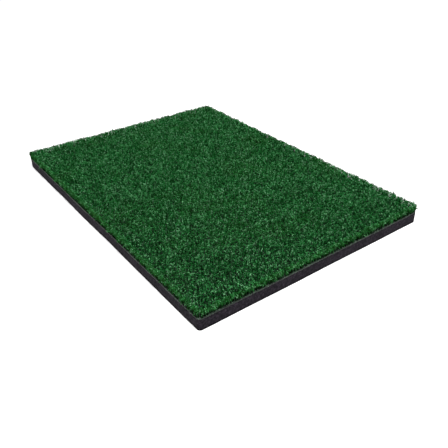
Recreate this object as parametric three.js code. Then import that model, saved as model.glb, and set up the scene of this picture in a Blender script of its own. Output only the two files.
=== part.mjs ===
// Golf hitting mat: a slab of black closed-cell foam with a sheet of short nylon turf glued on top.
// Millimetres, +Z up. X runs along the long side, Y along the short side, and the mat lies on z = 0.
// The layers are laid up from the floor, and each one starts exactly where the one below it ends.

import * as THREE from 'three';

// Driving dimensions
const MAT_LENGTH = 635;
const MAT_WIDTH = 457;
const CORNER_RADIUS = 6;
const FOAM_THICKNESS = 19;
const ADHESIVE_THICKNESS = 0.25;
const COAT_THICKNESS = 1;
const CLOTH_THICKNESS = 0.75;
const PILE_HEIGHT = 14;

// The cut tufts at the rim lean out past the backing, and their tips are rounded off.
const PILE_OVERHANG = 4;
const PILE_EDGE_ROUNDING = 5;
const PILE_EDGE_STEPS = 4;

const CORNER_STEPS = 6;

// What each layer is made of, as seen
const FINISHES = {
  foam: { color: 0x2e2b31, roughness: 0.9, metalness: 0 },
  adhesive: { color: 0x6b6a5c, roughness: 0.5, metalness: 0 },
  coat: { color: 0x4a4e4b, roughness: 0.8, metalness: 0 },
  cloth: { color: 0x58635a, roughness: 0.85, metalness: 0 },
  pile: { color: 0x214f2a, roughness: 0.7, metalness: 0 },
};

// The mat's plan: a rectangle with its four corners cut round.
function matOutline() {
  const halfLength = MAT_LENGTH / 2;
  const halfWidth = MAT_WIDTH / 2;
  const arcX = halfLength - CORNER_RADIUS;
  const arcY = halfWidth - CORNER_RADIUS;
  const quarter = Math.PI / 2;
  const outline = new THREE.Shape();
  outline.moveTo(-arcX, -halfWidth);
  outline.lineTo(arcX, -halfWidth);
  outline.absarc(arcX, -arcY, CORNER_RADIUS, -quarter, 0);
  outline.lineTo(halfLength, arcY);
  outline.absarc(arcX, arcY, CORNER_RADIUS, 0, quarter);
  outline.lineTo(-arcX, halfWidth);
  outline.absarc(-arcX, arcY, CORNER_RADIUS, quarter, 2 * quarter);
  outline.lineTo(-halfLength, -arcY);
  outline.absarc(-arcX, -arcY, CORNER_RADIUS, 2 * quarter, 3 * quarter);
  return outline;
}

// A layer with square-cut edges, its underside at the height bottom.
function cutLayer(name, finish, bottom, thickness) {
  const geometry = new THREE.ExtrudeGeometry(matOutline(), {
    depth: thickness,
    bevelEnabled: false,
    curveSegments: CORNER_STEPS,
  });
  const layer = new THREE.Mesh(geometry, new THREE.MeshStandardMaterial(FINISHES[finish]));
  layer.name = name;
  layer.position.z = bottom;
  return layer;
}

// The room that the tufts fill: as wide as the backing where they stand on it, wider half way up
// where the rim tufts lean out, and drawn in again at the tips.
function pileLayer(name, finish, bottom, height) {
  const geometry = new THREE.ExtrudeGeometry(matOutline(), {
    depth: height - 2 * PILE_EDGE_ROUNDING,
    bevelEnabled: true,
    bevelSize: PILE_OVERHANG,
    bevelThickness: PILE_EDGE_ROUNDING,
    bevelSegments: PILE_EDGE_STEPS,
    curveSegments: CORNER_STEPS,
  });
  const layer = new THREE.Mesh(geometry, new THREE.MeshStandardMaterial(FINISHES[finish]));
  layer.name = name;
  layer.position.z = bottom + PILE_EDGE_ROUNDING;
  return layer;
}

const adhesiveBottom = FOAM_THICKNESS;
const coatBottom = adhesiveBottom + ADHESIVE_THICKNESS;
const clothBottom = coatBottom + COAT_THICKNESS;
const pileBottom = clothBottom + CLOTH_THICKNESS;

// The turf is one carpet of three layers: tufts, the cloth they are stitched through, and the coat
// that locks their roots.
const turf = new THREE.Group();
turf.add(cutLayer('backing_coat', 'coat', coatBottom, COAT_THICKNESS));
turf.add(cutLayer('primary_backing', 'cloth', clothBottom, CLOTH_THICKNESS));
turf.add(pileLayer('turf_pile', 'pile', pileBottom, PILE_HEIGHT));

const mat = new THREE.Group();
mat.add(cutLayer('foam_base', 'foam', 0, FOAM_THICKNESS));
mat.add(cutLayer('adhesive_film', 'adhesive', adhesiveBottom, ADHESIVE_THICKNESS));
mat.add(turf);

export default mat;
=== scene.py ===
# %% [markdown]
# # A golf hitting mat, made in Blender around its CAD frame
# The real mat is a laminate. A sheet of short curly nylon turf is glued on a slab of black
# closed-cell foam, and the whole is knife-cut to a rectangle with rounded corners. The frame gives
# every size: this script asks it where each layer lies and puts the visible material there.

import math

import bmesh
import bpy
from mathutils import Matrix, Vector, noise


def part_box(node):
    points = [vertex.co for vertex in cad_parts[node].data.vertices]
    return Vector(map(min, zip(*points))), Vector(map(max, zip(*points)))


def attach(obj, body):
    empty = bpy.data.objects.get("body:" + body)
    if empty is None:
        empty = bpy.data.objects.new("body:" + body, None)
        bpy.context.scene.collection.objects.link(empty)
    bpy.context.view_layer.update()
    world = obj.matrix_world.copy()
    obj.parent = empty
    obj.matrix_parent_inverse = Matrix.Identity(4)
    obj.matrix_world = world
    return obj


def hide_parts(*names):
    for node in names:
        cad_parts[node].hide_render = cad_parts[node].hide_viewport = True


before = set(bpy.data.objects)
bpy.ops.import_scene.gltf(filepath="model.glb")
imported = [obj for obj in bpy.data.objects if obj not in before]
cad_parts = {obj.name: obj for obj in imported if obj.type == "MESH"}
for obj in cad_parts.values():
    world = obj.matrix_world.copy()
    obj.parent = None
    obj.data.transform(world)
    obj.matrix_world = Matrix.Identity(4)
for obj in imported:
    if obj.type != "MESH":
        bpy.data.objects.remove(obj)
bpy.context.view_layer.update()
MM = 0.001

foam_low, foam_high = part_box("foam_base")
glue_low, glue_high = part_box("adhesive_film")
coat_low, coat_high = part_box("backing_coat")
cloth_low, cloth_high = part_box("primary_backing")
pile_low, pile_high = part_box("turf_pile")
MAT_LENGTH = foam_high.x - foam_low.x
MAT_WIDTH = foam_high.y - foam_low.y
PILE_HEIGHT = pile_high.z - pile_low.z
CORNER_RADIUS = 6 * MM
print(f"mat {MAT_LENGTH / MM:.0f} x {MAT_WIDTH / MM:.0f} mm, foam {(foam_high.z - foam_low.z) / MM:.1f} mm,"
      f" pile {PILE_HEIGHT / MM:.1f} mm")


# %% [markdown]
# ## The camera
# A camera is a position, a direction and a lens. The direction is kept as a heading, a downward
# tilt and a slight roll, as they are read off a tripod head, and the three axes of the camera's
# matrix are worked out from them.

# %% Camera
CAMERA_PLACE = Vector((770.3, -513.7, 503.4)) * MM
CAMERA_HEADING = math.radians(54.02)     # from +Y towards -X
CAMERA_TILT = math.radians(32.05)        # below the horizon
CAMERA_ROLL = math.radians(-0.88)
CAMERA_LENS_MM = 43.50                   # on the default 36 mm sensor

forward = Vector((-math.sin(CAMERA_HEADING) * math.cos(CAMERA_TILT),
                  math.cos(CAMERA_HEADING) * math.cos(CAMERA_TILT),
                  -math.sin(CAMERA_TILT)))
level_right = Vector((math.cos(CAMERA_HEADING), math.sin(CAMERA_HEADING), 0))
level_up = level_right.cross(forward)
right = level_right * math.cos(CAMERA_ROLL) + level_up * math.sin(CAMERA_ROLL)
up = level_up * math.cos(CAMERA_ROLL) - level_right * math.sin(CAMERA_ROLL)

camera = bpy.data.objects.new("camera", bpy.data.cameras.new("camera"))
bpy.context.scene.collection.objects.link(camera)
camera.data.lens = CAMERA_LENS_MM
axes = Matrix((right, up, -forward)).transposed()
camera.matrix_world = Matrix.Translation(CAMERA_PLACE) @ axes.to_4x4()
bpy.context.scene.camera = camera
print("camera", [round(c, 3) for c in camera.matrix_world.translation])


# %% [markdown]
# ## Two small helpers
# Colours are written as the sRGB hex values that a paint chart gives. Shaders work in linear
# light, so one function turns the one into the other. Another adds a node with its settings and
# its inputs: an input is a plain value, a socket, or a node whose first output is meant. The
# others set the stops of a ramp, start a material, and hang a finished piece on the mat's body
# and hide the CAD part it replaces.

# %% Helpers
def linear(hex_colour, alpha=1.0):
    """The linear colour of an sRGB hex value such as "#2e2b31"."""
    channels = [int(hex_colour[i:i + 2], 16) / 255 for i in (1, 3, 5)]
    return (*(c / 12.92 if c <= 0.04045 else ((c + 0.055) / 1.055) ** 2.4 for c in channels), alpha)


def node(tree, kind, inputs=None, **settings):
    """Adds a node. settings are its properties, and inputs its sockets by name or by place."""
    made = tree.nodes.new(kind)
    for name, value in settings.items():
        setattr(made, name, value)
    shown = [socket for socket in made.inputs if socket.enabled]
    for key, value in (inputs or {}).items():
        socket = shown[key] if isinstance(key, int) else next(s for s in shown if s.name == key)
        if isinstance(value, bpy.types.Node):
            value = next(s for s in value.outputs if s.enabled)
        if isinstance(value, bpy.types.NodeSocket):
            tree.links.new(value, socket)
        else:
            socket.default_value = value
    return made


def set_stops(ramp, stops):
    """Gives a colour ramp these stops, each a place from 0 to 1 and an sRGB hex colour."""
    while len(ramp.elements) < len(stops):
        ramp.elements.new(0.5)
    for element, (place_on_ramp, colour) in zip(ramp.elements, stops):
        element.position = place_on_ramp
        element.color = linear(colour)


def new_material(name, **principled):
    """A material with its Principled shader's own sockets set, and the node tree and shader."""
    material = bpy.data.materials.new(name)
    material.use_nodes = True
    shader = material.node_tree.nodes["Principled BSDF"]
    for socket, value in principled.items():
        shader.inputs[socket.replace("_", " ")].default_value = value
    return material, material.node_tree, shader


def hand_over(piece, cad_node):
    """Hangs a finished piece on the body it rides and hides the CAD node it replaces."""
    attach(piece, "root")
    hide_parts(cad_node)
    triangles = sum(len(face.vertices) - 2 for face in piece.data.polygons)
    used = {piece.data.materials[face.material_index].name for face in piece.data.polygons}
    print(f"{piece.name}: {triangles} triangles of {', '.join(used)}")


# %% [markdown]
# ## Studio
# The mat lies on a plain pale floor in soft light from all round. A white world and one large
# softbox share the light. The softbox hangs high over the near end, so the sides throw no shadow
# towards the camera, and it makes the curl tips stand out from the gaps between them.

# %% Floor and lights
FLOOR_SIZE = 12.0
WORLD_STRENGTH = 0.85
half = FLOOR_SIZE / 2
floor_mesh = bpy.data.meshes.new("studio_floor")
floor_mesh.from_pydata([(-half, -half, 0), (half, -half, 0), (half, half, 0), (-half, half, 0)], [],
                       [(0, 1, 2, 3)])
floor = bpy.data.objects.new("studio_floor", floor_mesh)
bpy.context.scene.collection.objects.link(floor)
floor_paint, _, _ = new_material("pale_floor_paint", Base_Color=linear("#f8f8f8"), Roughness=1.0,
                                 Specular_IOR_Level=0.0)
floor_mesh.materials.append(floor_paint)

world = bpy.data.worlds.new("soft_studio")
bpy.context.scene.world = world
world.use_nodes = True
world.node_tree.nodes["Background"].inputs["Color"].default_value = (1, 1, 1, 1)
world.node_tree.nodes["Background"].inputs["Strength"].default_value = WORLD_STRENGTH

# name, size in metres, place, power in watts
LAMPS = [
    ("overhead_softbox", 1.0, Vector((1.2, -0.32, 2.6)), 104.0),
]
for name, size, place, power in LAMPS:
    lamp = bpy.data.lights.new(name, "AREA")
    lamp.size = size
    lamp.energy = power
    lamp_object = bpy.data.objects.new(name, lamp)
    aim = (-place).to_track_quat("-Z", "Y").to_matrix()
    lamp_object.matrix_world = Matrix.Translation(place) @ aim.to_4x4()
    bpy.context.scene.collection.objects.link(lamp_object)
bpy.context.scene.view_settings.view_transform = "Standard"
print("lamps:", [lamp[0] for lamp in LAMPS], "world:", WORLD_STRENGTH)


# %% [markdown]
# ## A layer cut from sheet stock
# The foam, the glue, the latex coat and the backing cloth are all cut by the same knife, one
# rectangle with rounded corners. A knife never runs quite true, so each cut side wanders by a few
# tenths of a millimetre. One function lays out the outline, and another lofts rings of it from
# the bottom of a layer to its top, pulls them in at the edges, and closes both ends.

# %% Cut layers
CORNER_STEPS = 6
DRIFT_LENGTH = 0.11         # metres over which the knife slowly wanders
RIPPLE_LENGTH = 0.009       # metres over which the blade chatters
RIPPLE_SHARE = 0.35


def outline(spacing):
    """Points round the mat's plan, each with the direction that faces out there."""
    points = []
    half_length, half_width = MAT_LENGTH / 2 - CORNER_RADIUS, MAT_WIDTH / 2 - CORNER_RADIUS
    corners = [(1, 1), (-1, 1), (-1, -1), (1, -1)]
    for turn, (side_x, side_y) in enumerate(corners):
        centre = Vector((side_x * half_length, side_y * half_width, 0))
        for step in range(CORNER_STEPS + 1):
            angle = math.pi / 2 * (turn + step / CORNER_STEPS)
            points.append((centre, Vector((math.cos(angle), math.sin(angle), 0))))
        next_x, next_y = corners[(turn + 1) % 4]
        next_centre = Vector((next_x * half_length, next_y * half_width, 0))
        pieces = round((next_centre - centre).length / spacing)
        out = points[-1][1]
        points += [(centre.lerp(next_centre, i / pieces), out) for i in range(1, pieces)]
    return points


def cut_layer(name, bottom, top, material, wander, spacing=3 * MM, edge=0.0, courses=1):
    """A closed layer. wander scales how far the knife strays, and edge is the rounding."""
    rounding = [(edge, 0.0), (edge * 0.3, edge * 0.3), (0.0, edge)] if edge else [(0.0, 0.0)]
    heights = [(bottom + lift, pulled) for pulled, lift in rounding]
    between = [(bottom + edge + (top - bottom - 2 * edge) * i / courses, 0.0) for i in range(1, courses)]
    heights += between + [(top - lift, pulled) for pulled, lift in reversed(rounding)]
    built = bmesh.new()
    rings = []
    for height, pulled in heights:
        ring = []
        for centre, out in outline(spacing):
            spot = centre + out * CORNER_RADIUS
            drift = noise.noise(Vector((spot.x, spot.y, bottom)) / DRIFT_LENGTH)
            ripple = noise.noise(Vector((spot.x, spot.y, height * 0.3)) / RIPPLE_LENGTH)
            spot += out * (wander * (drift + RIPPLE_SHARE * ripple) - pulled)
            ring.append(built.verts.new((spot.x, spot.y, height)))
        rings.append(ring)
    for lower, upper in zip(rings, rings[1:]):
        for i in range(len(lower)):
            after = (i + 1) % len(lower)
            built.faces.new((lower[i], lower[after], upper[after], upper[i])).smooth = True
    built.faces.new(list(reversed(rings[0])))
    built.faces.new(rings[-1])
    mesh = bpy.data.meshes.new(name)
    built.to_mesh(mesh)
    built.free()
    mesh.materials.append(material)
    piece = bpy.data.objects.new(name, mesh)
    bpy.context.scene.collection.objects.link(piece)
    return piece


print("points round the plan at 3 mm:", len(outline(3 * MM)))


# %% [markdown]
# ## The foam slab
# The slab is black closed-cell foam, which shows thousands of cut cells on its sides as a fine
# grain with soft mottling. It is matt and faintly violet where light catches it, and a painted
# contact shadow darkens its colour along its foot. Its sides are cut square, with edges only
# slightly eased.

# %% Foam
foam, tree, shader = new_material("black_closed_cell_foam", IOR=1.5, Specular_IOR_Level=0.05)
place = node(tree, "ShaderNodeTexCoord").outputs["Object"]
mottle = node(tree, "ShaderNodeTexNoise", {"Vector": place, "Scale": 300.0, "Detail": 3.0, "Roughness": 0.7})
clouds = node(tree, "ShaderNodeTexNoise", {"Vector": place, "Scale": 16.0, "Detail": 2.0})
tones = node(tree, "ShaderNodeValToRGB", {"Fac": mottle})
set_stops(tones.color_ramp, [(0.32, "#08070a"), (0.5, "#151217"), (0.7, "#28232a")])
cells = node(tree, "ShaderNodeTexVoronoi", {"Vector": place, "Scale": 1100.0})
cell_tone = node(tree, "ShaderNodeMapRange", {"Value": cells.outputs["Distance"], "From Max": 0.7,
                                              "To Min": 0.5, "To Max": 1.6})
cloud_tone = node(tree, "ShaderNodeMapRange", {"Value": clouds, "From Min": 0.3, "From Max": 0.7,
                                               "To Min": 0.85, "To Max": 1.15})
height = node(tree, "ShaderNodeSeparateXYZ", {"Vector": place}).outputs["Z"]
# Painted shade: the colour darkens towards the slab's foot, where the floor's contact shadow falls.
painted_foot_shade = node(tree, "ShaderNodeMapRange", {"Value": height, "From Min": 1.0 * MM, "From Max": 4.5 * MM,
                                         "To Min": 0.05, "To Max": 1.0})
tone = node(tree, "ShaderNodeMath", {0: cell_tone, 1: cloud_tone}, operation="MULTIPLY")
tone = node(tree, "ShaderNodeMath", {0: tone, 1: painted_foot_shade}, operation="MULTIPLY")
toned = node(tree, "ShaderNodeVectorMath", {0: tones, "Scale": tone}, operation="SCALE")
matt = node(tree, "ShaderNodeMapRange", {"Value": mottle, "To Min": 0.95, "To Max": 0.7})
grain = node(tree, "ShaderNodeBump", {"Height": cells.outputs["Distance"], "Strength": 0.6,
                                      "Distance": 0.25 * MM})
tree.links.new(toned.outputs[0], shader.inputs["Base Color"])
tree.links.new(matt.outputs[0], shader.inputs["Roughness"])
tree.links.new(grain.outputs[0], shader.inputs["Normal"])

foam_slab = cut_layer("foam_slab", foam_low.z, foam_high.z, foam, wander=0.8 * MM, edge=0.7 * MM, courses=6)
hand_over(foam_slab, "foam_base")


# %% [markdown]
# ## Glue and latex
# A film of contact glue, a quarter of a millimetre thick, holds the turf on the foam. Above it is
# the latex that is cast on the back of the turf to lock the stitches. Only their cut edges show,
# as a thin dark line: the glue is dark amber-grey and satin, and the latex is filled, dull and
# slightly pitted.

# %% Glue and latex
for name, low, high, colours, shine, cad_node, slot_name in [
        ("adhesive_layer", glue_low.z, glue_high.z, ("#151412", "#2a2823"), (0.25, 0.45),
         "adhesive_film", "adhesive"),
        ("latex_coat", coat_low.z, coat_high.z, ("#0c0f0c", "#1d231c"), (0.55, 0.8),
         "backing_coat", "backing_coat")]:
    cured, tree, shader = new_material("contact_glue" if "adhesive" in name else "filled_latex", IOR=1.52,
                                       Specular_IOR_Level=0.2)
    place = node(tree, "ShaderNodeTexCoord").outputs["Object"]
    lumps = node(tree, "ShaderNodeTexNoise", {"Vector": place, "Scale": 320.0, "Detail": 3.0})
    tones = node(tree, "ShaderNodeValToRGB", {"Fac": lumps})
    set_stops(tones.color_ramp, [(0.3, colours[0]), (0.7, colours[1])])
    gloss = node(tree, "ShaderNodeMapRange", {"Value": lumps, "To Min": shine[0], "To Max": shine[1]})
    pits = node(tree, "ShaderNodeBump", {"Height": lumps, "Strength": 0.4, "Distance": 0.2 * MM})
    tree.links.new(tones.outputs[0], shader.inputs["Base Color"])
    tree.links.new(gloss.outputs[0], shader.inputs["Roughness"])
    tree.links.new(pits.outputs[0], shader.inputs["Normal"])
    hand_over(cut_layer(name, low, high, cured, wander=0.9 * MM), cad_node)


# %% [markdown]
# ## Backing cloth
# The turf is tufted through a cloth woven from flat polypropylene tapes, warp and weft about
# 2.4 mm apart. Two crossed waves give the weave its colour and its bump. Where the knife cuts it
# the tapes fray: a second piece adds their loose ends, grey-green and uneven, sticking out a
# little from the edge.

# %% Cloth
TAPE_PITCH = 2.4 * MM
WAVE_PERIOD = 0.314         # a wave texture at scale 1 repeats after this many metres
cloth, tree, shader = new_material("woven_polypropylene", IOR=1.49, Specular_IOR_Level=0.3)
place = node(tree, "ShaderNodeTexCoord").outputs["Object"]
warp = node(tree, "ShaderNodeTexWave", {"Vector": place, "Scale": WAVE_PERIOD / TAPE_PITCH,
                                        "Distortion": 0.6},
            bands_direction="X")
weft = node(tree, "ShaderNodeTexWave", {"Vector": place, "Scale": WAVE_PERIOD / TAPE_PITCH,
                                        "Distortion": 0.6},
            bands_direction="Y")
weave = node(tree, "ShaderNodeMath", {0: warp.outputs["Fac"], 1: weft.outputs["Fac"]}, operation="MULTIPLY")
fade = node(tree, "ShaderNodeTexNoise", {"Vector": place, "Scale": 150.0, "Detail": 2.0})
fibre = node(tree, "ShaderNodeMath", {0: weave, 1: 0.5, 2: fade}, operation="MULTIPLY_ADD")
tones = node(tree, "ShaderNodeValToRGB", {"Fac": fibre})
set_stops(tones.color_ramp, [(0.3, "#0f1710"), (0.6, "#223027"), (0.95, "#566658")])
gloss = node(tree, "ShaderNodeMapRange", {"Value": fade, "To Min": 0.45, "To Max": 0.75})
relief = node(tree, "ShaderNodeBump", {"Height": weave, "Strength": 0.5, "Distance": 0.3 * MM})
tree.links.new(tones.outputs[0], shader.inputs["Base Color"])
tree.links.new(gloss.outputs[0], shader.inputs["Roughness"])
tree.links.new(relief.outputs[0], shader.inputs["Normal"])
backing_cloth = cut_layer("backing_cloth", cloth_low.z, cloth_high.z, cloth, wander=0.9 * MM)
hand_over(backing_cloth, "primary_backing")


# %% [markdown]
# ## Pieces grown by a node tree
# A modifier runs a Geometry Nodes tree on an empty object, with its inputs set by the sockets'
# identifiers. The evaluated object is turned into a plain mesh, so nothing is left live.

# %% Grow
def new_tree(name, inputs):
    """A Geometry Nodes tree with these named inputs, and its input node's sockets by name."""
    tree = bpy.data.node_groups.new(name, "GeometryNodeTree")
    for title, kind, value in inputs:
        tree.interface.new_socket(title, in_out="INPUT", socket_type=kind).default_value = value
    tree.interface.new_socket("Geometry", in_out="OUTPUT", socket_type="NodeSocketGeometry")
    return tree, tree.nodes.new("NodeGroupInput").outputs


def grown(name, tree, **inputs):
    """A plain mesh object with what the tree makes for these inputs."""
    seedling = bpy.data.objects.new(name + "_seedling", bpy.data.meshes.new(name + "_seedling"))
    bpy.context.scene.collection.objects.link(seedling)
    modifier = seedling.modifiers.new("grow", "NODES")
    modifier.node_group = tree
    identifiers = {s.name: s.identifier for s in tree.interface.items_tree if s.in_out == "INPUT"}
    for key, value in inputs.items():
        modifier[identifiers[key.replace("_", " ")]] = value
    ready = seedling.evaluated_get(bpy.context.evaluated_depsgraph_get())
    mesh = bpy.data.meshes.new_from_object(ready)
    mesh.name = name
    if mesh.materials[0] is None:       # realized instances can leave an empty slot in front
        mesh.materials.pop(index=0)
    piece = bpy.data.objects.new(name, mesh)
    bpy.context.scene.collection.objects.link(piece)
    bpy.data.objects.remove(seedling)
    return piece


# %% [markdown]
# ## Frayed tape ends
# Ends of tape stand along the cut edge of the cloth. The tree runs a curve round the mat, puts a
# point wherever a tape is cut, leaves some out, and sets a short closed stub on each. Every stub
# has its own length, lean and turn.

# %% Fray
FRAY_INPUTS = [
    ("Mat Length", "NodeSocketFloat", MAT_LENGTH),
    ("Mat Width", "NodeSocketFloat", MAT_WIDTH),
    ("Corner Radius", "NodeSocketFloat", CORNER_RADIUS),
    ("Height", "NodeSocketFloat", (cloth_low.z + cloth_high.z) / 2),
    ("End Spacing", "NodeSocketFloat", TAPE_PITCH / 2),
    ("Tape Width", "NodeSocketFloat", 1.0 * MM),
    ("End Length", "NodeSocketFloat", 1.5 * MM),
    ("Share Left Out", "NodeSocketFloat", 0.62),
    ("Seed", "NodeSocketInt", 11),
    ("Tape", "NodeSocketMaterial", cloth),
]
tree, given = new_tree("frayed_ends", FRAY_INPUTS)

# Points where the tapes are cut, less the ones that are worn away
edge = node(tree, "GeometryNodeCurvePrimitiveQuadrilateral", {"Width": given["Mat Length"],
                                                              "Height": given["Mat Width"]})
edge = node(tree, "GeometryNodeFilletCurve", {"Curve": edge, "Count": 6, "Radius": given["Corner Radius"]},
            mode="POLY")
cut_ends = node(tree, "GeometryNodeCurveToPoints", {"Curve": edge, "Length": given["End Spacing"]},
                mode="LENGTH")
worn = node(tree, "FunctionNodeRandomValue", {"Probability": given["Share Left Out"], "Seed": given["Seed"]},
            data_type="BOOLEAN")
ends = node(tree, "GeometryNodeDeleteGeometry", {"Geometry": cut_ends, "Selection": worn}, domain="POINT")

# One stub: three points of flat tape that sag towards the tip, closed at both ends
line = node(tree, "GeometryNodeCurvePrimitiveLine", {"Start": (0, 0, 0), "End": (1, 0, 0)})
line = node(tree, "GeometryNodeResampleCurve", {"Curve": line, "Count": 3})
run = node(tree, "GeometryNodeInputPosition")
sag = node(tree, "ShaderNodeVectorMath", {0: run, 1: run}, operation="DOT_PRODUCT").outputs["Value"]
sag = node(tree, "ShaderNodeMath", {0: sag, 1: -0.35}, operation="MULTIPLY")
sag = node(tree, "ShaderNodeCombineXYZ", {"Z": sag})
line = node(tree, "GeometryNodeSetPosition", {"Geometry": line, "Offset": sag})
section = node(tree, "GeometryNodeCurvePrimitiveQuadrilateral", {"Width": 0.25, "Height": 0.7})
stub = node(tree, "GeometryNodeCurveToMesh", {"Curve": line, "Profile Curve": section, "Fill Caps": True})

# Each stub is turned to face out, leaned and scaled by numbers drawn for it
tangent = node(tree, "FunctionNodeAlignRotationToVector", {"Vector": cut_ends.outputs["Tangent"]}, axis="Y")
lean = node(tree, "FunctionNodeRandomValue", {"Min": (-0.3, -0.2, -0.5), "Max": (0.3, 0.6, 0.5), "Seed": 3},
            data_type="FLOAT_VECTOR")
lean = node(tree, "FunctionNodeEulerToRotation", {"Euler": lean})
facing = node(tree, "FunctionNodeRotateRotation", {"Rotation": tangent, "Rotate By": lean},
              rotation_space="LOCAL")
stretch = node(tree, "FunctionNodeRandomValue", {"Min": 0.35, "Max": 1.0, "Seed": 4}, data_type="FLOAT")
long = node(tree, "ShaderNodeMath", {0: stretch, 1: given["End Length"]}, operation="MULTIPLY")
size = node(tree, "ShaderNodeCombineXYZ", {"X": long, "Y": given["Tape Width"], "Z": given["Tape Width"]})
fringe = node(tree, "GeometryNodeInstanceOnPoints", {"Points": ends, "Instance": stub, "Rotation": facing,
                                                     "Scale": size})
lift = node(tree, "ShaderNodeCombineXYZ", {"Z": given["Height"]})
raised = node(tree, "GeometryNodeTransform", {"Geometry": fringe, "Translation": lift})
real = node(tree, "GeometryNodeRealizeInstances", {"Geometry": raised})
finished = node(tree, "GeometryNodeSetMaterial", {"Geometry": real, "Material": given["Tape"]})
node(tree, "NodeGroupOutput", {"Geometry": finished})

frayed_ends = grown("frayed_tape_ends", tree, Seed=11, Tape=cloth)
hand_over(frayed_ends, "primary_backing")


# %% [markdown]
# ## Nylon yarn
# Hitting turf is tufted from textured nylon: each strand is extruded, dyed green all through and
# set in curls with heat. Dyed nylon has a soft satin shine. Strands differ from dye lot to dye
# lot, and the cut rim has weathered to a yellower green. Light and shade are painted into the
# colour as well: painted shade darkens each strand down at its root and deep in the pile, painted
# light brightens the tips of the pile, the open rim's strands get painted light and are then toned
# darker, and painted glints fleck the yarn. The strand meshes carry those facts as the attributes
# "shade", "along" and "rim". A fine bump stands for the crimped filaments.

# %% Yarn material
# Painted light and shade in the yarn's colour: darkest up to DARK_BELOW above the roots, lightest from
# LIGHT_ABOVE below the top of the pile, and the rim's strands painted lighter by RIM_LIFT.
DARK_BELOW = 7 * MM         # above the roots
LIGHT_ABOVE = 1.5 * MM      # below the top of the pile
RIM_LIFT = 9 * MM           # more light reaches the strands of the open rim
yarn, tree, shader = new_material("dyed_nylon_yarn", IOR=1.53, Specular_IOR_Level=0.03,
                                  Specular_Tint=linear("#2f9a48"))
shade = node(tree, "ShaderNodeAttribute", attribute_name="shade").outputs["Fac"]
along = node(tree, "ShaderNodeAttribute", attribute_name="along").outputs["Fac"]
rim = node(tree, "ShaderNodeAttribute", attribute_name="rim").outputs["Fac"]
place = node(tree, "ShaderNodeTexCoord").outputs["Object"]
dye_lots = node(tree, "ShaderNodeValToRGB", {"Fac": shade})
set_stops(dye_lots.color_ramp, [(0.0, "#04250b"), (0.3, "#104a1d"), (0.6, "#287639"), (0.88, "#50a260"),
                                (1.0, "#86c992")])
patches = node(tree, "ShaderNodeTexNoise", {"Vector": place, "Scale": 14.0, "Detail": 2.0})
warmth = node(tree, "ShaderNodeMapRange", {"Value": patches, "From Min": 0.5, "From Max": 0.8,
                                           "To Min": 0.0, "To Max": 0.25})
warmth = node(tree, "ShaderNodeMath", {0: rim, 1: 0.4, 2: warmth}, operation="MULTIPLY_ADD")
warmed = node(tree, "ShaderNodeMix", {"Factor": warmth, "A": dye_lots, "B": linear("#2f6322")},
              data_type="RGBA")
# Painted shade deep in the pile and painted light near its top and at the open rim, read from the height of
# each spot; the rim is then toned darker again.
height = node(tree, "ShaderNodeSeparateXYZ", {"Vector": place}).outputs["Z"]
height = node(tree, "ShaderNodeMath", {0: rim, 1: RIM_LIFT, 2: height}, operation="MULTIPLY_ADD")
painted_light_and_shade = node(tree, "ShaderNodeMapRange", {"Value": height, "From Min": pile_low.z + DARK_BELOW,
                                          "From Max": pile_high.z - LIGHT_ABOVE,
                                          "To Min": 0.07, "To Max": 1.15})
# Painted shade: each strand's colour darkens down towards its root.
painted_root_shade = node(tree, "ShaderNodeMapRange", {"Value": along, "From Min": 0.2, "From Max": 0.75, "To Min": 0.3})
painted_light_and_shade = node(tree, "ShaderNodeMath", {0: painted_light_and_shade, 1: painted_root_shade}, operation="MULTIPLY")
rim_tone = node(tree, "ShaderNodeMapRange", {"Value": rim, "To Min": 1.0, "To Max": 0.58})
painted_light_and_shade = node(tree, "ShaderNodeMath", {0: painted_light_and_shade, 1: rim_tone}, operation="MULTIPLY")
# Painted glints and dark flecks: a fine noise makes the yarn's colour lighter and darker in small spots.
glint_noise = node(tree, "ShaderNodeTexNoise", {"Vector": place, "Scale": 520.0, "Detail": 1.0})
glint = node(tree, "ShaderNodeMapRange", {"Value": glint_noise, "From Min": 0.3, "From Max": 0.7,
                                          "To Min": 0.55, "To Max": 1.45})
painted_light_and_shade = node(tree, "ShaderNodeMath", {0: painted_light_and_shade, 1: glint}, operation="MULTIPLY")
# The dyed colour times the painted light and shade.
shaded = node(tree, "ShaderNodeVectorMath", {0: warmed.outputs["Result"], "Scale": painted_light_and_shade}, operation="SCALE")
satin = node(tree, "ShaderNodeMapRange", {"Value": shade, "To Min": 0.8, "To Max": 0.55})
crimp = node(tree, "ShaderNodeTexNoise", {"Vector": place, "Scale": 1800.0, "Detail": 2.0})
filaments = node(tree, "ShaderNodeBump", {"Height": crimp, "Strength": 0.3, "Distance": 0.15 * MM})
tree.links.new(shaded.outputs[0], shader.inputs["Base Color"])
tree.links.new(satin.outputs[0], shader.inputs["Roughness"])
tree.links.new(filaments.outputs[0], shader.inputs["Normal"])
print("yarn nodes:", len(tree.nodes))


# %% [markdown]
# ## Turf strands with Geometry Nodes
# A tufting machine stitches yarn through the backing in rows and leaves strands standing. Tens
# of thousands of strands can't be placed by hand, and copies of a few would show, so a node tree
# grows each one: it lays out the stitches, puts a straight line on each and more of them near the
# rim, where the pile splays, and bends every line by fields that read its place and its number.
# The lines end as three-sided yarn that is closed at both ends. A strip of the mat is made at a
# time, which keeps each mesh small.

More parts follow.
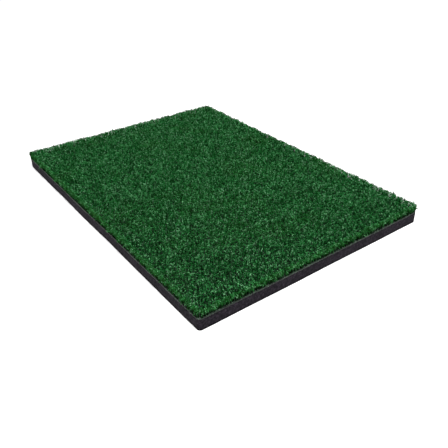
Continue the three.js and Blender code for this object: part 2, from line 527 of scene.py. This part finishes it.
# %% The turf tree
STRIPS = 11
GRID_MARGIN = 3 * MM        # the grid of stitches is this much smaller than the mat
CORNER_INSET = 0.8 * MM     # stitches keep this far inside the cut edge
TURF_INPUTS = [
    ("Strip", "NodeSocketInt", 0),
    ("Strips", "NodeSocketInt", STRIPS),
    ("Mat Length", "NodeSocketFloat", MAT_LENGTH),
    ("Mat Width", "NodeSocketFloat", MAT_WIDTH),
    ("Corner Radius", "NodeSocketFloat", CORNER_RADIUS),
    ("Root Height", "NodeSocketFloat", pile_low.z),
    ("Pile Height", "NodeSocketFloat", PILE_HEIGHT),
    ("Stitch Gap", "NodeSocketFloat", 2.15 * MM),
    ("Stitch Jitter", "NodeSocketFloat", 0.8 * MM),
    ("Strands Per Stitch", "NodeSocketInt", 1),
    ("Strand Jitter", "NodeSocketFloat", 0.8 * MM),
    ("Points Per Strand", "NodeSocketInt", 5),
    ("Curl Radius", "NodeSocketFloat", 1.5 * MM),
    ("Spread", "NodeSocketFloat", 0.8 * MM),
    ("Droop", "NodeSocketFloat", 3.4 * MM),
    ("Yarn Width", "NodeSocketFloat", 0.85 * MM),
    ("Rim Width", "NodeSocketFloat", 9.0 * MM),
    ("Rim Lean", "NodeSocketFloat", 3.2 * MM),
    ("Rim Drop", "NodeSocketFloat", 6.0 * MM),
    ("Rim Extra Strands", "NodeSocketFloat", 4.4),
    ("Seed", "NodeSocketInt", 7),
    ("Yarn", "NodeSocketMaterial", yarn),
]
tree, given = new_tree("turf_strip", TURF_INPUTS)

# Stitches: a grid of points, each moved a little, less those outside the rounded outline
columns = node(tree, "ShaderNodeMath", {0: given["Mat Length"], 1: given["Stitch Gap"]}, operation="DIVIDE")
rows = node(tree, "ShaderNodeMath", {0: given["Mat Width"], 1: given["Stitch Gap"]}, operation="DIVIDE")
long_side = node(tree, "ShaderNodeMath", {0: given["Mat Length"], 1: GRID_MARGIN}, operation="SUBTRACT")
short_side = node(tree, "ShaderNodeMath", {0: given["Mat Width"], 1: GRID_MARGIN}, operation="SUBTRACT")
grid = node(tree, "GeometryNodeMeshGrid", {"Size X": long_side, "Size Y": short_side,
                                           "Vertices X": columns, "Vertices Y": rows})
stitches = node(tree, "GeometryNodeMeshToPoints", {"Mesh": grid})
jitter = node(tree, "FunctionNodeRandomValue", {"Min": (-1, -1, 0), "Max": (1, 1, 0), "Seed": given["Seed"]},
              data_type="FLOAT_VECTOR")
jitter = node(tree, "ShaderNodeVectorMath", {0: jitter, "Scale": given["Stitch Jitter"]}, operation="SCALE")
moved = node(tree, "GeometryNodeSetPosition", {"Geometry": stitches, "Offset": jitter})
here = node(tree, "GeometryNodeInputPosition")
half_plan = node(tree, "ShaderNodeCombineXYZ", {"X": given["Mat Length"], "Y": given["Mat Width"]})
half_plan = node(tree, "ShaderNodeVectorMath", {0: half_plan, "Scale": 0.5}, operation="SCALE")
radius = node(tree, "ShaderNodeCombineXYZ", {"X": given["Corner Radius"], "Y": given["Corner Radius"]})
arc_centre = node(tree, "ShaderNodeVectorMath", {0: half_plan, 1: radius}, operation="SUBTRACT")
unsigned = node(tree, "ShaderNodeVectorMath", {0: here}, operation="ABSOLUTE")
past_centre = node(tree, "ShaderNodeVectorMath", {0: unsigned, 1: arc_centre}, operation="SUBTRACT")
past_centre = node(tree, "ShaderNodeVectorMath", {0: past_centre, 1: (0, 0, 0)}, operation="MAXIMUM")
reach = node(tree, "ShaderNodeVectorMath", {0: past_centre}, operation="LENGTH")
inner_radius = node(tree, "ShaderNodeMath", {0: given["Corner Radius"], 1: CORNER_INSET},
                    operation="SUBTRACT")
off_mat = node(tree, "FunctionNodeCompare", {"A": reach.outputs["Value"], "B": inner_radius},
               data_type="FLOAT", operation="GREATER_THAN")
x_here = node(tree, "ShaderNodeSeparateXYZ", {"Vector": here}).outputs["X"]
share = node(tree, "ShaderNodeMath", {0: x_here, 1: given["Mat Length"]}, operation="DIVIDE")
share = node(tree, "ShaderNodeMath", {0: share, 1: 0.5}, operation="ADD")
in_strips = node(tree, "ShaderNodeMath", {0: share, 1: given["Strips"]}, operation="MULTIPLY")
strip_here = node(tree, "ShaderNodeMath", {0: in_strips}, operation="FLOOR")
last_strip = node(tree, "ShaderNodeMath", {0: given["Strips"], 1: 1}, operation="SUBTRACT")
strip_here = node(tree, "ShaderNodeClamp", {"Value": strip_here, "Min": 0, "Max": last_strip})
other_strip = node(tree, "FunctionNodeCompare", {"A": strip_here, "B": given["Strip"], "Epsilon": 0.5},
                   data_type="FLOAT", operation="NOT_EQUAL")
unwanted = node(tree, "FunctionNodeBooleanMath", {0: off_mat, 1: other_strip}, operation="OR")
kept = node(tree, "GeometryNodeDeleteGeometry", {"Geometry": moved, "Selection": unwanted}, domain="POINT")

# Where a strand stands: how far into the rim, and which way is out there
root = node(tree, "ShaderNodeSeparateXYZ", {"Vector": here})
flat_root = node(tree, "ShaderNodeCombineXYZ", {"X": root.outputs["X"], "Y": root.outputs["Y"]})
rim_width = node(tree, "ShaderNodeCombineXYZ", {"X": given["Rim Width"], "Y": given["Rim Width"], "Z": 1.0})
inner = node(tree, "ShaderNodeVectorMath", {0: half_plan, 1: rim_width}, operation="SUBTRACT")
unsigned = node(tree, "ShaderNodeVectorMath", {0: flat_root}, operation="ABSOLUTE")
into_rim = node(tree, "ShaderNodeVectorMath", {0: unsigned, 1: inner}, operation="SUBTRACT")
into_rim = node(tree, "ShaderNodeVectorMath", {0: into_rim, 1: (0, 0, 0)}, operation="MAXIMUM")
into_rim = node(tree, "ShaderNodeVectorMath", {0: into_rim, 1: rim_width}, operation="DIVIDE")
into_rim = node(tree, "ShaderNodeVectorMath", {0: into_rim, 1: (1, 1, 0)}, operation="MULTIPLY")
side = node(tree, "ShaderNodeVectorMath", {0: flat_root}, operation="SIGN")
outward = node(tree, "ShaderNodeVectorMath", {0: into_rim, 1: side}, operation="MULTIPLY")
rim_share = node(tree, "ShaderNodeVectorMath", {0: into_rim}, operation="LENGTH").outputs["Value"]
rim_squared = node(tree, "ShaderNodeMath", {0: rim_share, 1: 2.0}, operation="POWER")

# Strands: one at each stitch and more in the rim, each a straight line from z = 0 to z = 1
strip_seed = node(tree, "ShaderNodeMath", {0: given["Strip"], 1: 101, 2: given["Seed"]},
                  operation="MULTIPLY_ADD")
amount = node(tree, "ShaderNodeMath", {0: rim_share, 1: given["Rim Extra Strands"],
                                       2: given["Strands Per Stitch"]}, operation="MULTIPLY_ADD")
several = node(tree, "GeometryNodeDuplicateElements", {"Geometry": kept, "Amount": amount}, domain="POINT")
apart = node(tree, "FunctionNodeRandomValue", {"Min": (-1, -1, 0), "Max": (1, 1, 0), "Seed": strip_seed},
             data_type="FLOAT_VECTOR")
apart = node(tree, "ShaderNodeVectorMath", {0: apart, "Scale": given["Strand Jitter"]}, operation="SCALE")
roots = node(tree, "GeometryNodeSetPosition", {"Geometry": several, "Offset": apart})
line = node(tree, "GeometryNodeCurvePrimitiveLine", {"Start": (0, 0, 0), "End": (0, 0, 1)})
line = node(tree, "GeometryNodeResampleCurve", {"Curve": line, "Count": given["Points Per Strand"]})
placed = node(tree, "GeometryNodeInstanceOnPoints", {"Points": roots, "Instance": line})
strands = node(tree, "GeometryNodeRealizeInstances", {"Geometry": placed})

# What each strand is: its number, and numbers drawn for it between two limits
DRAWS = [("phase", 0, math.tau), ("turns", 5.0, 9.0), ("hand", -1, 1), ("curl", 0.5, 1.2),
         ("heading", 0, math.tau), ("spread", 0.1, 1.0), ("height", 0.84, 1.07), ("droop", 0.0, 1.0),
         ("tilt", 0, math.tau), ("width", 0.7, 1.2), ("shade", 0, 1)]
number = node(tree, "GeometryNodeCurveOfPoint").outputs["Curve Index"]
draws = {}
for draw, (name, low, high) in enumerate(DRAWS):
    seed = node(tree, "ShaderNodeMath", {0: strip_seed, 1: 17 * (draw + 1)}, operation="ADD")
    draws[name] = node(tree, "FunctionNodeRandomValue", {"Min": low, "Max": high, "ID": number, "Seed": seed},
                       data_type="FLOAT")

# The facts the bends and the yarn read. The power of z spaces the points along the strand
from_root = node(tree, "ShaderNodeMath", {0: root.outputs["Z"], 1: 0.75}, operation="POWER")
for name, value, kind in [("along", from_root, "FLOAT"), ("shade", draws["shade"], "FLOAT"),
                          ("rim", rim_squared, "FLOAT"), ("strand", number, "INT")]:
    strands = node(tree, "GeometryNodeStoreNamedAttribute",
                   {"Geometry": strands, "Name": name, "Value": value}, domain="POINT", data_type=kind)
along = node(tree, "GeometryNodeInputNamedAttribute", {"Name": "along"},
             data_type="FLOAT").outputs["Attribute"]

# The curl: a circle that opens as the strand rises, turning one way or the other
hand = node(tree, "ShaderNodeMath", {0: draws["hand"]}, operation="SIGN")
turned = node(tree, "ShaderNodeMath", {0: draws["turns"], 1: hand}, operation="MULTIPLY")
angle = node(tree, "ShaderNodeMath", {0: turned, 1: along, 2: draws["phase"]}, operation="MULTIPLY_ADD")
opening = node(tree, "ShaderNodeMapRange", {"Value": along, "From Max": 0.7}, interpolation_type="SMOOTHSTEP")
size = node(tree, "ShaderNodeMath", {0: given["Curl Radius"], 1: draws["curl"]}, operation="MULTIPLY")
size = node(tree, "ShaderNodeMath", {0: size, 1: opening}, operation="MULTIPLY")
arm = node(tree, "ShaderNodeCombineXYZ", {"X": size})
curl = node(tree, "ShaderNodeVectorRotate", {"Vector": arm, "Angle": angle}, rotation_type="Z_AXIS")

# The spread: strands of one stitch lean apart
apart = node(tree, "ShaderNodeMath", {0: given["Spread"], 1: draws["spread"]}, operation="MULTIPLY")
apart = node(tree, "ShaderNodeMath", {0: apart, 1: along}, operation="MULTIPLY")
apart = node(tree, "ShaderNodeCombineXYZ", {"X": apart})
spread = node(tree, "ShaderNodeVectorRotate", {"Vector": apart, "Angle": draws["heading"]},
              rotation_type="Z_AXIS")

# The rim: nothing holds the outer strands up, so they lean out over the edge and sit lower
lean_size = node(tree, "ShaderNodeMath", {0: along, 1: given["Rim Lean"]}, operation="MULTIPLY")
lean_size = node(tree, "ShaderNodeMath", {0: lean_size, 1: draws["droop"]}, operation="MULTIPLY")
clumps = node(tree, "ShaderNodeTexNoise", {"Vector": flat_root, "Scale": 95.0, "Detail": 1.0})
clumped = node(tree, "ShaderNodeMapRange", {"Value": clumps, "From Min": 0.35, "From Max": 0.65,
                                            "To Min": 0.1, "To Max": 2.4})
lean_size = node(tree, "ShaderNodeMath", {0: lean_size, 1: clumped}, operation="MULTIPLY")
lean = node(tree, "ShaderNodeVectorMath", {0: outward, "Scale": lean_size}, operation="SCALE")

# The rise: up fast, then level, with a tip that droops
swell = node(tree, "ShaderNodeTexNoise", {"Vector": flat_root, "Scale": 45.0, "Detail": 1.0})
swell = node(tree, "ShaderNodeMapRange", {"Value": swell, "From Min": 0.3, "From Max": 0.7,
                                          "To Min": -1.4 * MM, "To Max": 0.6 * MM})
full = node(tree, "ShaderNodeMath", {0: given["Pile Height"], 1: draws["height"], 2: swell},
            operation="MULTIPLY_ADD")
dropped = node(tree, "ShaderNodeMath", {0: draws["droop"], 1: 2.0}, operation="POWER")
dropped = node(tree, "ShaderNodeMath", {0: dropped, 1: rim_squared}, operation="MULTIPLY")
dropped = node(tree, "ShaderNodeMath", {0: dropped, 1: given["Rim Drop"]}, operation="MULTIPLY")
full = node(tree, "ShaderNodeMath", {0: full, 1: dropped}, operation="SUBTRACT")
tufts = node(tree, "ShaderNodeMapRange", {"Value": clumps, "From Min": 0.35, "From Max": 0.65,
                                          "To Min": -1.2 * MM, "To Max": 0.9 * MM})
full = node(tree, "ShaderNodeMath", {0: tufts, 1: rim_share, 2: full}, operation="MULTIPLY_ADD")
to_go = node(tree, "ShaderNodeMath", {0: 1.0, 1: along}, operation="SUBTRACT")
to_go = node(tree, "ShaderNodeMath", {0: to_go, 1: 3.5}, operation="POWER")
rise = node(tree, "ShaderNodeMath", {0: 1.0, 1: to_go}, operation="SUBTRACT")
height = node(tree, "ShaderNodeMath", {0: full, 1: rise, 2: given["Root Height"]}, operation="MULTIPLY_ADD")
tip = node(tree, "ShaderNodeMapRange", {"Value": along, "From Min": 0.55, "To Max": given["Droop"]})
height_lost = node(tree, "ShaderNodeMath", {0: tip, 1: draws["droop"]}, operation="MULTIPLY")
height = node(tree, "ShaderNodeMath", {0: height, 1: height_lost}, operation="SUBTRACT")
height = node(tree, "ShaderNodeCombineXYZ", {"Z": height})

path = flat_root
for offset in (curl, spread, lean, height):
    path = node(tree, "ShaderNodeVectorMath", {0: path, 1: offset}, operation="ADD")
strands = node(tree, "GeometryNodeSetPosition", {"Geometry": strands, "Position": path})
twist = node(tree, "ShaderNodeMath", {0: along, 1: 2.5, 2: draws["tilt"]}, operation="MULTIPLY_ADD")
strands = node(tree, "GeometryNodeSetCurveTilt", {"Curve": strands, "Tilt": twist})

# The yarn: a flattened three-sided section, narrower at the tip
half_width = node(tree, "ShaderNodeMath", {0: given["Yarn Width"], 1: 0.5}, operation="MULTIPLY")
section = node(tree, "GeometryNodeCurvePrimitiveCircle", {"Resolution": 3, "Radius": half_width},
               mode="RADIUS")
section = node(tree, "GeometryNodeTransform", {"Geometry": section, "Scale": (1, 0.55, 1)})
around = node(tree, "GeometryNodeSplineParameter").outputs["Factor"]
section = node(tree, "GeometryNodeStoreNamedAttribute",
               {"Geometry": section, "Name": "around", "Value": around}, domain="POINT")
taper = node(tree, "ShaderNodeMapRange", {"Value": along, "From Min": 0.7, "To Min": 1.0, "To Max": 0.45})
taper = node(tree, "ShaderNodeMath", {0: taper, 1: draws["width"]}, operation="MULTIPLY")
fuller = node(tree, "GeometryNodeInputNamedAttribute", {"Name": "rim"},
              data_type="FLOAT").outputs["Attribute"]
fuller = node(tree, "ShaderNodeMath", {0: fuller, 1: 0.6, 2: 1.0}, operation="MULTIPLY_ADD")
taper = node(tree, "ShaderNodeMath", {0: taper, 1: fuller}, operation="MULTIPLY")
spun = node(tree, "GeometryNodeCurveToMesh", {"Curve": strands, "Profile Curve": section, "Scale": taper,
                                              "Fill Caps": True})

# A flat map of the yarn: each strand has its own square cell, so no two share a colour
count = node(tree, "GeometryNodeAttributeDomainSize", {"Geometry": strands}, component="CURVE")
cells = node(tree, "ShaderNodeMath", {0: count.outputs["Spline Count"]}, operation="SQRT")
cells = node(tree, "ShaderNodeMath", {0: cells}, operation="CEIL")
strand = node(tree, "GeometryNodeInputNamedAttribute", {"Name": "strand"},
              data_type="INT").outputs["Attribute"]
across = node(tree, "GeometryNodeInputNamedAttribute", {"Name": "around"},
              data_type="FLOAT").outputs["Attribute"]
row = node(tree, "ShaderNodeMath", {0: strand, 1: cells}, operation="DIVIDE")
row = node(tree, "ShaderNodeMath", {0: row}, operation="FLOOR")
column = node(tree, "ShaderNodeMath", {0: strand, 1: cells}, operation="MODULO")
u = node(tree, "ShaderNodeMath", {0: across, 1: 0.9, 2: 0.2}, operation="MULTIPLY_ADD")
u = node(tree, "ShaderNodeMath", {0: u, 1: column}, operation="ADD")
v = node(tree, "ShaderNodeMath", {0: along, 1: 0.7, 2: 0.15}, operation="MULTIPLY_ADD")
v = node(tree, "ShaderNodeMath", {0: v, 1: row}, operation="ADD")
flat = node(tree, "ShaderNodeCombineXYZ", {"X": u, "Y": v})
cell_size = node(tree, "ShaderNodeMath", {0: 1.0, 1: cells}, operation="DIVIDE")
flat = node(tree, "ShaderNodeVectorMath", {0: flat, "Scale": cell_size}, operation="SCALE")
mapped = node(tree, "GeometryNodeStoreNamedAttribute", {"Geometry": spun, "Name": "OFBake", "Value": flat},
              data_type="FLOAT2", domain="CORNER")
smooth = node(tree, "GeometryNodeSetShadeSmooth", {"Geometry": mapped})
real = node(tree, "GeometryNodeRealizeInstances", {"Geometry": smooth})
finished = node(tree, "GeometryNodeSetMaterial", {"Geometry": real, "Material": given["Yarn"]})
node(tree, "NodeGroupOutput", {"Geometry": finished})
print("turf tree:", len(tree.nodes), "nodes")


# %% [markdown]
# ## Growing the turf
# The tree is run once for each strip of the mat, and each strip then takes the place of the
# CAD pile on the mat's body.

# %% Grow the turf
turf_strips = [grown(f"turf_strip_{i + 1:02d}", tree, Strip=i) for i in range(STRIPS)]
for strip in turf_strips:
    hand_over(strip, "turf_pile")
